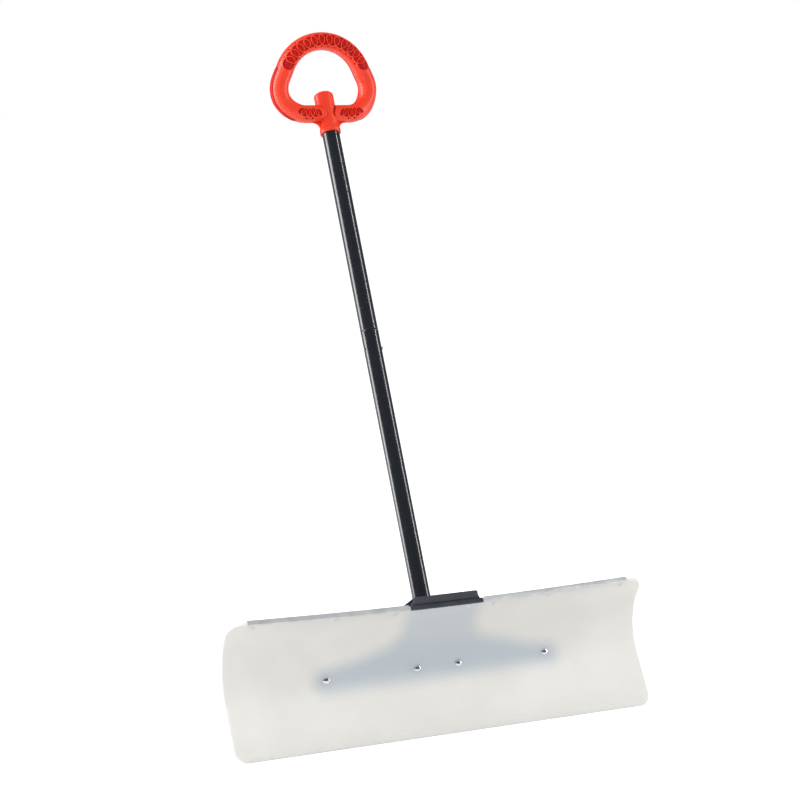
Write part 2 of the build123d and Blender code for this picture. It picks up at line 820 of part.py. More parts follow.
def neck_opening():
    """Hourglass block that opens the front shell over the neck."""
    base_height = loop_lobe_height - loop_lobe_radius
    top = base_height + grip_side_radius
    bottom = base_height - grip_side_radius
    wide = neck_radius + neck_bore_gap
    outline = Line((-wide, bottom), (wide, bottom))
    outline += ThreePointArc((wide, bottom), (neck_opening_waist, base_height), (wide, top))
    outline += Line((wide, top), (-wide, top))
    outline += ThreePointArc((-wide, top), (-neck_opening_waist, base_height), (-wide, bottom))
    return grip_plane() * extrude(make_face(outline), 3 * grip_front_depth)


def make_grip_front_shell():
    shell = grip_half(grip_front_depth, 1, -90.0, 90.0) - neck_opening()
    for plane in grip_screw_planes():
        shell -= round_bar(plane, grip_screw_radius, -grip_hole_overrun, grip_screw_reach)
    for first, last, low, high in window_ranges(0).values():
        runs = spaced(first, last, loop_station_step)
        shell -= loop_loft(runs, 2 * grip_wall, -grip_wall, grip_front_depth, low, high)
    return shell


def make_grip_screws():
    """Screws from the rear shell's wells into the front shell's bosses."""
    top = -grip_screw_well - grip_screw_head_height
    tip = grip_screw_reach - grip_hole_overrun
    screws = []
    for plane in grip_screw_planes():
        head = round_bar(plane, grip_screw_head_radius, top, -grip_screw_well)
        head -= round_bar(plane, grip_screw_socket_radius, top, top + grip_screw_socket_depth)
        screws.append(head + round_bar(plane, grip_screw_radius - grip_screw_fit, -grip_screw_well, tip))
    return Compound(screws)


def make_neck_screw():
    plane = saddle_bolt_plane(neck_screw_place)
    face = neck_radius + neck_screw_head_lift
    shank = round_bar(plane, neck_screw_radius, neck_screw_reach + neck_screw_end_gap, face)
    return shank + dome(plane.offset(face), neck_screw_radius * 2, neck_screw_radius)


rail_rear = blade_thickness / 2 + sheet_gap + rail_thickness
left_rivets = [-place for place in rail_rivet_places]
bracket_rivets = [-bracket_rivet_place, bracket_rivet_place]
all_rivets = [*left_rivets, *bracket_rivets, *rail_rivet_places]

parts = {
    "blade": drill_rivets(drill_blade_bolts(make_blade()), all_rivets),
    "top_rail_left": drill_rivets(make_rail(-1), left_rivets),
    "top_rail_right": drill_rivets(make_rail(1), rail_rivet_places),
    "rail_rivets_left": make_rivets(left_rivets, rail_rear),
    "rail_rivets_right": make_rivets(rail_rivet_places, rail_rear),
    "bracket_rivets": make_rivets(bracket_rivets, stack_depth()),
    "bracket_plate": drill_rivets(drill_blade_bolts(make_bracket_plate()), bracket_rivets),
    "bracket_edge_cap": make_edge_cap(),
    "blade_bolts": make_blade_bolts(),
    "blade_bolt_washers": make_blade_washers(),
    "blade_bolt_nuts": make_blade_nuts(),
    "handle_saddle": drill_saddle_bolts(make_saddle()),
    "side_web_left": make_web(-1),
    "side_web_right": make_web(1),
    "saddle_bolts": make_saddle_bolts(),
    "saddle_nuts": make_saddle_nuts(),
    "lower_tube": make_lower_tube(),
    "lower_tube_plug": make_lower_plug(),
    "upper_tube": make_upper_tube(),
    "snap_spring": make_snap_spring(),
    "snap_button_left": make_snap_button(-1),
    "snap_button_right": make_snap_button(1),
    "grip_neck": neck_solid(0, True),
    "grip_neck_screw": make_neck_screw(),
    "grip_front_shell": make_grip_front_shell(),
    "grip_rear_shell": make_grip_rear_shell(),
    "grip_crown_insert": make_insert("crown"),
    "grip_left_insert": make_insert("left"),
    "grip_right_insert": make_insert("right"),
    "grip_screws": make_grip_screws(),
}

os.makedirs("parts", exist_ok=True)
for name, shape in parts.items():
    export_step(shape, f"parts/{name}.step")
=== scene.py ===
import json
from math import acos, atan2, cos, degrees, exp, hypot, log, pi, radians, sin, sqrt, tan

import bpy
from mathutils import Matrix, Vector, noise


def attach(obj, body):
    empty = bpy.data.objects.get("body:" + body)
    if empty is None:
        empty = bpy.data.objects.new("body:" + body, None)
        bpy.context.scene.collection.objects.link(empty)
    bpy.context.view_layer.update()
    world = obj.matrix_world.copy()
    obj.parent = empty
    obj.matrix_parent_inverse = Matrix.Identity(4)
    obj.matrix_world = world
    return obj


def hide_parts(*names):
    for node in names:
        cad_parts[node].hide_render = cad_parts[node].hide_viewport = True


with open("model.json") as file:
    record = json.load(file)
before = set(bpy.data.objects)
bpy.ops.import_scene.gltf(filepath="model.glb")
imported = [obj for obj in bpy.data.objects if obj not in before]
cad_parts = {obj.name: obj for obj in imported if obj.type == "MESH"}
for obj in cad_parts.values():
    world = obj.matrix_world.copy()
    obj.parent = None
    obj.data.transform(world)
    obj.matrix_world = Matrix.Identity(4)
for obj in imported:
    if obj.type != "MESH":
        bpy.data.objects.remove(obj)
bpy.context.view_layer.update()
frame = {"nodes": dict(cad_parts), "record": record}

# Push-type snow shovel: the looks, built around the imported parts. Metres, in the parts' own frame:
# +Z up, +X along the blade, +Y to the rear, origin at the middle of the blade's wear edge.

MM = 0.001

# Blade sheet, as in the part: a straight lower run, a curl, and a short straight top run.
blade_width = 762 * MM
blade_thickness = 6 * MM
lower_lean = radians(33.3)
lower_run = 93 * MM
curl_run = 122.8 * MM
top_run = 29.8 * MM
blade_run = lower_run + curl_run + top_run
curl_radius_middle = 96 * MM
curl_radius_end = 107.2 * MM
top_corner = 26 * MM
bottom_corner = 21 * MM
sheet_gap = 0.2 * MM

# Rails hooked over the blade's top edge, and the bracket's cap between them.
rail_ends = (69 * MM, 347 * MM)
rail_thickness = 1.6 * MM
rail_leg = 19 * MM
rail_hem = 2 * MM

# Bracket plate: a wide foot bar, a bell-shaped waist and an upright lip.
plate_thickness = 2.5 * MM
bar_half_width = 224 * MM
bar_bottom = 83 * MM
bar_top = 111 * MM
bar_corner = 6 * MM
waist_half_width = 66 * MM
waist_height = 170 * MM
lip_base = 214 * MM
lip_top = 231 * MM
lip_half_width = 58 * MM
lip_corner = 3 * MM

# Handle line and tubes.
handle_lean = radians(27.54)
handle_foot_y = 22.5 * MM
tube_radius = 15.875 * MM
tube_wall = 1.6 * MM
lower_tube_ends = (146 * MM, 711.8 * MM)
joint_place = 712 * MM
spigot_start = 614 * MM
spigot_radius = 14.175 * MM
spigot_wall = 1.4 * MM
upper_tube_end = 1165 * MM
button_place = 678 * MM
button_hole = 4.15 * MM

# Grip: a heart-shaped loop whose base is swept forward onto the handle line.
grip_cross_place = 1170.3 * MM
grip_forward_tilt = radians(22.5)
grip_side_radius = 16.3 * MM
grip_front_depth = 22 * MM
grip_rear_depth = 16.3 * MM
grip_wall = 3 * MM
crown_radius = 79.3 * MM
crown_height = 22.6 * MM
lobe_radius = 45.4 * MM
lobe_side = 41 * MM
lobe_height = 14.2 * MM
sweep_start = 49 * MM
sweep_end = 104 * MM
neck_start = 1096.5 * MM
neck_end = 1177 * MM
neck_radius = 17.8 * MM
neck_rim_radius = 19.2 * MM
neck_opening_waist = 8 * MM
neck_opening_end = 14.8 * MM
grip_screw_angles = (radians(12), radians(-36))
well_radius = 3.4 * MM
well_outer_radius = 4.6 * MM
screw_hole_radius = 1.9 * MM
strip_ends = (58 * MM, 148 * MM)
strip_angle = radians(70)
strip_proud = 0.7 * MM
seam_round = 0.7 * MM
base_gap = 4 * MM
strip_gap = 0.2 * MM

across = Vector((1, 0, 0))
handle_up = Vector((0, sin(handle_lean), cos(handle_lean)))
handle_rear = Vector((0, cos(handle_lean), -sin(handle_lean)))
handle_foot = Vector((0, handle_foot_y, 0))


# ---- shapes shared by several pieces

def mix(a, b, share):
    return a + (b - a) * share


def smooth(share):
    """Smooth step from 0 to 1."""
    share = min(max(share, 0.0), 1.0)
    return share * share * (3 - 2 * share)


def spaced(first, last, step):
    """Evenly spaced values from first to last, no further apart than a step."""
    count = max(1, round(abs(last - first) / step + 0.499))
    return [mix(first, last, index / count) for index in range(count + 1)]


def joined(*ranges):
    """Values of several ranges in a row, without the repeated ends."""
    values = list(ranges[0])
    for more in ranges[1:]:
        values.extend(more[1:])
    return values


def curl_radius(x):
    share = (2 * x / blade_width) ** 2
    return mix(curl_radius_middle, curl_radius_end, share)


def sheet_slope(x, run):
    """Lean of the blade sheet from upright, at a length `run` up from the wear edge."""
    turned = min(max(run - lower_run, 0.0), curl_run) / curl_radius(x)
    return lower_lean - turned


def sheet_point(x, run, offset):
    """Point on the sheet's middle surface, moved `offset` to the rear along its normal."""
    slope = sheet_slope(x, run)
    flat = min(run, lower_run)
    rest = max(run - lower_run - curl_run, 0.0)
    radius = curl_radius(x)
    y = flat * sin(lower_lean) + radius * (cos(slope) - cos(lower_lean)) + rest * sin(slope)
    z = flat * cos(lower_lean) + radius * (sin(lower_lean) - sin(slope)) + rest * cos(slope)
    return Vector((x, y + offset * cos(slope), z - offset * sin(slope)))


def sheet_run_at(x, height, offset):
    """Run at which the sheet, moved by the offset, reaches a height."""
    low, high = 0.0, blade_run
    for _ in range(26):
        middle = (low + high) / 2
        if sheet_point(x, middle, offset).z < height:
            low = middle
        else:
            high = middle
    return low


def on_handle(place, radius=0.0, angle=0.0):
    """Point near the handle line: angle 0 is towards +X and 90 degrees is towards the rear."""
    side = across * (radius * cos(angle)) + handle_rear * (radius * sin(angle))
    return handle_foot + handle_up * place + side


# ---- mesh makers

def make_piece(name, points, faces, body, slot, replaced=(), sharp=40):
    """Piece from points and faces, smooth except at corners sharper than `sharp` degrees."""
    mesh = bpy.data.meshes.new(name)
    mesh.from_pydata([tuple(point) for point in points], [], faces)
    mesh.validate()
    mesh.shade_smooth()
    mesh.set_sharp_from_angle(angle=radians(sharp))
    mesh.materials.append(surfaces[slot])
    piece = bpy.data.objects.new(name, mesh)
    bpy.context.scene.collection.objects.link(piece)
    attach(piece, body)
    if replaced:
        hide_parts(*replaced)
    return piece


def add_bevel(piece, width, segments, angle):
    """Rounded edges wherever two faces meet at more than an angle in degrees."""
    bevel = piece.modifiers.new("soft_edges", "BEVEL")
    bevel.width = width
    bevel.segments = segments
    bevel.limit_method = "ANGLE"
    bevel.angle_limit = radians(angle)
    bevel.harden_normals = True


def add_thickness(piece, thickness):
    """Thickness given to a sheet, away from the side that its faces look to."""
    solid = piece.modifiers.new("thickness", "SOLIDIFY")
    solid.thickness = thickness
    solid.offset = -1.0
    solid.use_even_offset = True


def grid_faces(columns, rows):
    """Faces of a grid whose points are stored row by row."""
    faces = []
    for row in range(rows - 1):
        for column in range(columns - 1):
            corner = row * columns + column
            faces.append((corner, corner + 1, corner + columns + 1, corner + columns))
    return faces


def two_sided(faces, size):
    """One side's faces, the same ones `size` points further on, and walls along every free edge."""
    used = {(face[n - 1], face[n]) for face in faces for n in range(len(face))}
    back = [tuple(size + k for k in reversed(face)) for face in faces]
    walls = [(b, a, size + a, size + b) for a, b in sorted(used) if (b, a) not in used]
    return faces + back + walls


def perforated(columns, rows, solid, place, wraps=False):
    """Shell over a grid of (u, v), open where solid(u, v) is negative.

    place(u, v, edge, inner) gives a point: `edge` is the value of solid there, and `inner` says
    which side of the shell is meant. Cells are clipped along the edge of each opening.
    """
    count = len(columns) - 1 if wraps else len(columns)
    values = [[solid(u, v) for v in rows] for u in columns]
    keys, outer, inner, faces = {}, [], [], []

    def index_of(key, u, v, edge):
        if key not in keys:
            keys[key] = len(outer)
            outer.append(place(u, v, edge, False))
            inner.append(place(u, v, edge, True))
        return keys[key]

    def corner(i, j):
        return index_of((i % count, j), columns[i], rows[j], values[i][j])

    def crossing(i, j, k, l):
        (i, j), (k, l) = sorted([(i, j), (k, l)])
        share = values[i][j] / (values[i][j] - values[k][l])
        u = mix(columns[i], columns[k], share)
        v = mix(rows[j], rows[l], share)
        return index_of((i % count, j, k % count, l), u, v, 0.0)

    for i in range(len(columns) - 1):
        for j in range(len(rows) - 1):
            around = [(i, j), (i + 1, j), (i + 1, j + 1), (i, j + 1)]
            face = []
            for here, ahead in zip(around, around[1:] + around[:1]):
                inside = values[here[0]][here[1]] > 0
                if inside:
                    face.append(corner(*here))
                if inside != (values[ahead[0]][ahead[1]] > 0):
                    face.append(crossing(*here, *ahead))
            face = [k for n, k in enumerate(face) if k != face[n - 1]]
            if len(face) > 2:
                faces.append(tuple(face))

    return outer + inner, two_sided(faces, len(outer))


def lathe(profile, place, segments):
    """Closed profile of (radius, position), turned through place(position, radius, angle)."""
    points, faces = [], []
    for radius, position in profile:
        for segment in range(segments):
            points.append(place(position, radius, 2 * pi * segment / segments))
    for low in range(len(profile)):
        high = (low + 1) % len(profile)
        for segment in range(segments):
            ahead = (segment + 1) % segments
            faces.append((low * segments + segment, low * segments + ahead,
                          high * segments + ahead, high * segments + segment))
    return points, faces


def rounded(profile, radius, steps):
    """Closed profile with each corner cut back and rounded by up to a radius."""
    longest_share = 0.45
    result = []
    for index, corner in enumerate(profile):
        before = Vector(profile[index - 1])
        after = Vector(profile[(index + 1) % len(profile)])
        corner = Vector(corner)
        shorter = min((before - corner).length, (after - corner).length)
        reach = min(radius, shorter * longest_share)
        start = corner + (before - corner).normalized() * reach
        end = corner + (after - corner).normalized() * reach
        for step in range(steps + 1):
            share = step / steps
            result.append(tuple(mix(mix(start, corner, share), mix(corner, end, share), share)))
    return result


# ---- materials

def add_node(tree, kind, inputs=(), **settings):
    """Node with its properties set, and each named input linked to a socket or given a value."""
    made = tree.nodes.new(kind)
    for key, value in settings.items():
        setattr(made, key, value)
    for key, value in dict(inputs).items():
        if isinstance(value, bpy.types.NodeSocket):
            tree.links.new(value, made.inputs[key])
        else:
            made.inputs[key].default_value = value
    return made


def new_surface(name, roughness=0.5, metallic=0.0):
    """New material, with its node tree and its shader."""
    material = bpy.data.materials.new(name)
    material.use_nodes = True
    shader = material.node_tree.nodes["Principled BSDF"]
    shader.inputs["Roughness"].default_value = roughness
    shader.inputs["Metallic"].default_value = metallic
    return material, material.node_tree, shader


def coordinates(tree, stretch=(1, 1, 1), turn=(0, 0, 0)):
    """Object-space coordinates in metres, turned and stretched."""
    source = add_node(tree, "ShaderNodeTexCoord").outputs["Object"]
    inputs = {"Vector": source, "Scale": stretch, "Rotation": turn}
    return add_node(tree, "ShaderNodeMapping", inputs).outputs["Vector"]


def noise_field(tree, vector, size, detail, rough=0.55):
    """Noise whose features are about `size` metres."""
    inputs = {"Vector": vector, "Scale": 1 / size, "Detail": detail, "Roughness": rough}
    return add_node(tree, "ShaderNodeTexNoise", inputs).outputs["Fac"]


def remap(tree, value, low, high, start=0.35, end=0.65):
    """Value stretched from the range start to end, where most noise lies, to low to high."""
    inputs = {"Value": value, "From Min": start, "From Max": end, "To Min": low, "To Max": high}
    return add_node(tree, "ShaderNodeMapRange", inputs).outputs["Result"]


def blend_colors(tree, share, first, second):
    """Color that goes from the first to the second as the share goes from 0 to 1."""
    made = add_node(tree, "ShaderNodeMix", data_type="RGBA")
    factor, color_a, color_b = made.inputs[0], made.inputs[6], made.inputs[7]
    for socket, value in ((factor, share), (color_a, first), (color_b, second)):
        if isinstance(value, bpy.types.NodeSocket):
            tree.links.new(value, socket)
        else:
            socket.default_value = (*value, 1)
    return made.outputs[2]


def add_bump(tree, shader, height, depth, strength, under=None):
    """Bump of a real depth in metres, laid over another bump if given."""
    inputs = {"Height": height, "Distance": depth, "Strength": strength}
    if under is not None:
        inputs["Normal"] = under
    made = add_node(tree, "ShaderNodeBump", inputs)
    tree.links.new(made.outputs["Normal"], shader.inputs["Normal"])
    return made.outputs["Normal"]


def blade_surface():
    """Milky polyethylene sheet: light soaks in, so the dark bracket behind shows softly through, and a
    painted shadow of the bracket also darkens the colour there.
    """
    material, tree, shader = new_surface("milky_polyethylene")
    dull_milk, clear_milk = (0.745, 0.735, 0.71), (0.775, 0.765, 0.74)
    # The second colour on the next line is painted shadow, where the bracket lies behind the sheet.
    worn_milk, painted_shadow_milk = (0.60, 0.60, 0.59), (0.57, 0.62, 0.66)
    worn_height = 35 * MM
    where = coordinates(tree)
    cloud = noise_field(tree, where, 90 * MM, 4)
    fine = noise_field(tree, where, 1.2 * MM, 2)
    scratch = noise_field(tree, coordinates(tree, (1, 9, 9), (0.5, 0.3, 0.15)), 12 * MM, 6, 0.7)
    height = add_node(tree, "ShaderNodeSeparateXYZ", {"Vector": where}).outputs["Z"]
    near_edge = remap(tree, height, 1.0, 0.0, 0.0, worn_height)
    scuffed = remap(tree, scratch, 0.0, 0.5, 0.45, 0.7)
    worn = add_node(tree, "ShaderNodeMath", {0: near_edge, 1: scuffed}, operation="MULTIPLY").outputs[0]
    # Painted shadow: a soft grey outline of the bracket, read from a per-point attribute and blended into
    # the colour.
    shade = add_node(tree, "ShaderNodeAttribute", attribute_name="painted_bracket_shadow").outputs["Fac"]
    milk = blend_colors(tree, remap(tree, cloud, 0.0, 1.0), dull_milk, clear_milk)
    milk = blend_colors(tree, worn, milk, worn_milk)
    milk = blend_colors(tree, shade, milk, painted_shadow_milk)
    tree.links.new(milk, shader.inputs["Base Color"])
    tree.links.new(remap(tree, scratch, 0.34, 0.50), shader.inputs["Roughness"])
    shader.inputs["Subsurface Weight"].default_value = 0.75
    shader.inputs["Subsurface Radius"].default_value = (1.0, 1.0, 0.95)
    shader.inputs["Subsurface Scale"].default_value = 7 * MM
    shader.inputs["IOR"].default_value = 1.5
    soft = add_bump(tree, shader, cloud, 1 * MM, 0.5)
    grain = add_bump(tree, shader, fine, 0.05 * MM, 0.5, soft)
    add_bump(tree, shader, scratch, 0.12 * MM, 0.5, grain)
    return material


def metal_surface(name, dark, light, rough, grain_size, stretch, depth, metallic=1.0):
    """Bare or plated metal with a drawn grain along its stretched direction and duller patches."""
    material, tree, shader = new_surface(name, metallic=metallic)
    grain = noise_field(tree, coordinates(tree, stretch), grain_size, 5, 0.65)
    patch = noise_field(tree, coordinates(tree), 20 * MM, 3)
    color = blend_colors(tree, remap(tree, patch, 0.0, 1.0), dark, light)
    tree.links.new(color, shader.inputs["Base Color"])
    mottled = add_node(tree, "ShaderNodeMath", {0: grain, 1: patch}, operation="MULTIPLY").outputs[0]
    tree.links.new(remap(tree, mottled, *rough, 0.12, 0.4), shader.inputs["Roughness"])
    add_bump(tree, shader, grain, depth, 0.6)
    return material


def powder_surface():
    """Black powder coat with an even, fine pebble and a little dust on it."""
    material, tree, shader = new_surface("black_powder_coat")
    clean_black, dusty_black = (0.028, 0.034, 0.046), (0.042, 0.050, 0.064)
    where = coordinates(tree)
    pebble = noise_field(tree, where, 1.1 * MM, 2)
    dust = noise_field(tree, where, 35 * MM, 5, 0.6)
    coat = blend_colors(tree, remap(tree, dust, 0.0, 1.0), clean_black, dusty_black)
    tree.links.new(coat, shader.inputs["Base Color"])
    tree.links.new(remap(tree, dust, 0.36, 0.5), shader.inputs["Roughness"])
    add_bump(tree, shader, pebble, 0.12 * MM, 0.7)
    return material


def enamel_surface():
    """Gloss blue-black enamel on the tubes: faint orange peel, drawn lines and handling scuffs."""
    material, tree, shader = new_surface("black_enamel")
    clean_black, scuffed_black = (0.0075, 0.0095, 0.0140), (0.030, 0.033, 0.040)
    peel = noise_field(tree, coordinates(tree), 4 * MM, 2)
    drawn = noise_field(tree, coordinates(tree, (1, 1, 0.02), (handle_lean, 0, 0)), 1.6 * MM, 4)
    scuff = noise_field(tree, coordinates(tree, (1, 1, 0.12), (-handle_lean, 0, 0)), 6 * MM, 7, 0.75)
    enamel = blend_colors(tree, remap(tree, scuff, 0.0, 1.0, 0.6, 0.72), clean_black, scuffed_black)
    tree.links.new(enamel, shader.inputs["Base Color"])
    tree.links.new(remap(tree, scuff, 0.16, 0.27, 0.4, 0.7), shader.inputs["Roughness"])
    shader.inputs["Specular IOR Level"].default_value = 0.9
    soft = add_bump(tree, shader, peel, 0.05 * MM, 0.5)
    add_bump(tree, shader, drawn, 0.012 * MM, 0.4, soft)
    return material


def moulded_surface(name, deep, bright, rough, gloss):
    """Moulded plastic with a fine spark-eroded grain, soft flow marks and rubbed patches."""
    material, tree, shader = new_surface(name)
    where = coordinates(tree)
    grain = noise_field(tree, where, 0.7 * MM, 2)
    flow = noise_field(tree, where, 30 * MM, 4)
    rubbed = noise_field(tree, where, 11 * MM, 6, 0.7)
    color = blend_colors(tree, remap(tree, flow, 0.0, 1.0), deep, bright)
    tree.links.new(color, shader.inputs["Base Color"])
    tree.links.new(remap(tree, rubbed, *rough), shader.inputs["Roughness"])
    shader.inputs["Specular IOR Level"].default_value = gloss
    soft = add_bump(tree, shader, flow, 0.2 * MM, 0.4)
    add_bump(tree, shader, grain, 0.04 * MM, 0.6, soft)
    return material


surfaces = {
    "blade_plastic": blade_surface(),
    "bare_aluminium": metal_surface(
        "bare_aluminium", dark=(0.66, 0.67, 0.68), light=(0.78, 0.79, 0.80), rough=(0.30, 0.46),
        grain_size=1.2 * MM, stretch=(0.02, 1, 1), depth=0.03 * MM, metallic=0.55),
    "black_powder_coat": powder_surface(),
    "bright_chrome": metal_surface(
        "bright_chrome", dark=(0.74, 0.75, 0.76), light=(0.84, 0.85, 0.86), rough=(0.06, 0.16),
        grain_size=3 * MM, stretch=(1, 1, 1), depth=0.01 * MM),
    "zinc_steel": metal_surface(
        "zinc_steel", dark=(0.46, 0.47, 0.48), light=(0.62, 0.63, 0.65), rough=(0.22, 0.40),
        grain_size=1.6 * MM, stretch=(1, 1, 1), depth=0.03 * MM),
    "black_tube_gloss": enamel_surface(),
    "black_plastic": moulded_surface(
        "black_plastic", deep=(0.012, 0.012, 0.013), bright=(0.022, 0.022, 0.024), rough=(0.42, 0.58),
        gloss=0.5),
    "spring_steel": metal_surface(
        "spring_steel", dark=(0.26, 0.27, 0.29), light=(0.38, 0.39, 0.42), rough=(0.25, 0.42),
        grain_size=1.4 * MM, stretch=(1, 1, 0.05), depth=0.02 * MM),
    "orange_plastic": moulded_surface(
        "orange_plastic", deep=(0.80, 0.037, 0.010), bright=(0.86, 0.048, 0.015), rough=(0.30, 0.42),
        gloss=0.5),
    "dark_red_plastic": moulded_surface(
        "dark_red_plastic", deep=(0.42, 0.004, 0.002), bright=(0.52, 0.007, 0.004), rough=(0.52, 0.64),
        gloss=0.2),
}


# ---- blade

def bell_half_width(height):
    """Half width of the bracket's soft shadow at a height."""
    steepness = 2.6
    if height < bar_bottom or height > lip_top:
        return 0.0
    if height < bar_top:
        return bar_half_width
    if height < waist_height:
        share = (height - bar_top) / (waist_height - bar_top)
        return waist_half_width + (bar_half_width - waist_half_width) * (1 - share) ** steepness
    return waist_half_width


def painted_bracket_shadow(x, height):
    """Painted shadow of the dark bracket behind the blade at a point: 0 to 1, with soft edges."""
    ring_spacing = 5 * MM
    points_on_rings = (1, 6, 10, 14)
    seen = 0
    for ring, count in enumerate(points_on_rings):
        radius = ring * ring_spacing
        for index in range(count):
            angle = 2 * pi * (index + 0.5) / count
            seen += abs(x + radius * cos(angle)) < bell_half_width(height + radius * sin(angle))
    # The painted shadow weakens by up to 30 percent from the top of the foot bar to the waist, and stays so
    # above it.
    upper_loss = 0.30 * smooth((height - bar_top) / (waist_height - bar_top))
    return seen / sum(points_on_rings) * (1 - upper_loss)


def corner_rows(radius, steps):
    """(distance from the end, width lost) down a rounded corner, from its inner end to the end."""
    angles = [radians(90) * step / steps for step in range(steps + 1)]
    return [(radius * (1 - sin(angle)), radius * (1 - cos(angle))) for angle in angles]


def make_blade():
    """One curled sheet with rounded corners, a faint ripple, a level wear edge and the bracket's painted
    shadow on its front side.
    """
    row_step, column_count = 3.4 * MM, 170
    ripple_height, ripple_start = 0.25 * MM, 30 * MM
    rows = corner_rows(bottom_corner, 10)[::-1]
    middle = spaced(bottom_corner, blade_run - top_corner, row_step)
    rows += [(run, 0.0) for run in middle[1:-1]]
    rows += [(blade_run - distance, lost) for distance, lost in corner_rows(top_corner, 12)]
    columns = spaced(-1.0, 1.0, 2 / column_count)
    half = blade_thickness / 2
    points, shades = [], []
    for offset in (-half, half):
        for run, lost in rows:
            level = offset * tan(lower_lean) * max(0.0, 1 - run / bottom_corner)
            for column in columns:
                x = column * (blade_width / 2 - lost)
                ripple = ripple_height * noise.noise(Vector((x * 9, run * 14, 3)))
                point = sheet_point(x, run + level, offset)
                point.y += ripple * smooth(run / ripple_start)
                points.append(point)
                # Front points carry the painted shadow of the bracket; rear points carry none.
                shades.append(painted_bracket_shadow(x, point.z) if offset < 0 else 0.0)
    faces = two_sided(grid_faces(len(columns), len(rows)), len(rows) * len(columns))
    blade = make_piece("blade_sheet", points, faces, "root", "blade_plastic", ["blade"])
    attribute = blade.data.attributes.new("painted_bracket_shadow", "FLOAT", "POINT")
    attribute.data.foreach_set("value", shades)
    add_bevel(blade, 1.5 * MM, 3, 60)


# ---- rails and bracket

def edge_section(leg):
    """(run, offset) corners of a channel over the blade's top edge, with a leg behind if it has one."""
    inner = blade_thickness / 2 + sheet_gap
    outer = inner + rail_thickness
    seat = blade_run + sheet_gap
    top = seat + rail_thickness
    hem = blade_run - rail_hem
    hook = [(seat, inner), (seat, -inner), (hem, -inner), (hem, -outer)]
    if leg:
        return [(top - leg, inner), *hook, (top, -outer), (top, outer), (top - leg, outer)]
    return [*hook, (top, -outer), (top, inner)]


def make_edge_channel(name, first, last, leg, slot, node):
    """Channel over the blade's top edge from one width to another."""
    fold_radius, station_step = 0.5 * MM, 8 * MM
    section = rounded(edge_section(leg), fold_radius, 3)
    stations = spaced(first, last, station_step)
    points = [sheet_point(x, run, offset) for x in stations for run, offset in section]
    count = len(section)
    faces = []
    for station in range(len(stations) - 1):
        base = station * count
        for k in range(count):
            ahead = (k + 1) % count
            faces.append((base + k, base + ahead, base + count + ahead, base + count + k))
    faces.append(tuple(reversed(range(count))))
    faces.append(tuple(range((len(stations) - 1) * count, len(stations) * count)))
    make_piece(name, points, faces, "root", slot, [node], 50)


def bezier(start, first, second, end, share):
    """Point on a cubic curve with two handles."""
    rest = 1 - share
    return tuple(
        rest ** 3 * a + 3 * rest * rest * share * b + 3 * rest * share * share * c + share ** 3 * d
        for a, b, c, d in zip(start, first, second, end)
    )


def plate_rows():
    """(half width, height) up the bracket plate's outline."""
    rows = [(bar_half_width - lost, bar_bottom + distance)
            for distance, lost in reversed(corner_rows(bar_corner, 5))]
    rows += [(bar_half_width - lost, bar_top - distance) for distance, lost in corner_rows(bar_corner, 5)]
    bell = [rows[-1], (150 * MM, 115 * MM), (70 * MM, 130 * MM), (waist_half_width, waist_height)]
    bell_steps = 26
    rows += [bezier(*bell, (step + 1) / bell_steps) for step in range(bell_steps)]
    rows += [(waist_half_width, height) for height in spaced(waist_height, lip_base, 5 * MM)[1:]]
    lip_flare = 2.2
    for height in spaced(lip_base, lip_top - lip_corner, 1.2 * MM)[1:]:
        share = (height - lip_base) / (lip_top - lip_base)
        rows.append((mix(lip_half_width, waist_half_width, (1 - share) ** lip_flare), height))
    last = rows[-1][0]
    rows += [(last - lost, lip_top - distance) for distance, lost in corner_rows(lip_corner, 4)[1:]]
    return rows


def plate_point(x, height):
    """Point on the bracket plate's front side: along the blade's rear, then upright as the lip."""
    inner = blade_thickness / 2 + sheet_gap
    bend = sheet_point(x, blade_run - 1 * MM, inner).z
    softness = 1.2 * MM
    far_below = 30
    excess = (bend - height) / softness
    along = bend - softness * (excess if excess > far_below else log(1 + exp(excess)))
    y = sheet_point(x, sheet_run_at(x, along, inner), inner).y
    return Vector((x, y, height))


def make_bracket_plate():
    """Pressing that follows the blade's rear and stands up as the lip above the edge."""
    rows = plate_rows()
    columns = spaced(-1.0, 1.0, 1 / 22)
    points = [plate_point(column * width, height) for width, height in rows for column in columns]
    faces = grid_faces(len(columns), len(rows))
    plate = make_piece("bracket_pressing", points, faces, "root", "black_powder_coat", ["bracket_plate"], 60)
    add_thickness(plate, plate_thickness)
    add_bevel(plate, 0.45 * MM, 2, 60)


# ---- tubes

# Round a tube the steps are fine on its two sides, where the button holes are.
side_step, plain_step = radians(1.2), radians(3.75)
tube_angles = joined(
    spaced(-pi, -pi * 0.9, side_step), spaced(-pi * 0.9, -pi * 0.1, plain_step),
    spaced(-pi * 0.1, pi * 0.1, side_step), spaced(pi * 0.1, pi * 0.9, plain_step),
    spaced(pi * 0.9, pi, side_step),
)
hole_low, hole_high = button_place - 6 * MM, button_place + 6 * MM
hole_step = 0.45 * MM


def button_hole_edge(angle, position):
    """Distance along a tube's skin from the edge of the nearer snap button hole."""
    turned = min(abs(angle), pi - abs(angle))
    return hypot(turned * tube_radius, position - button_place) - button_hole


def end_round(distance, radius):
    """How far a rounded end draws the skin in, at a distance from that end."""
    gap = max(0.0, 1 - distance / radius)
    return radius * (1 - sqrt(1 - min(gap, 1.0) ** 2))


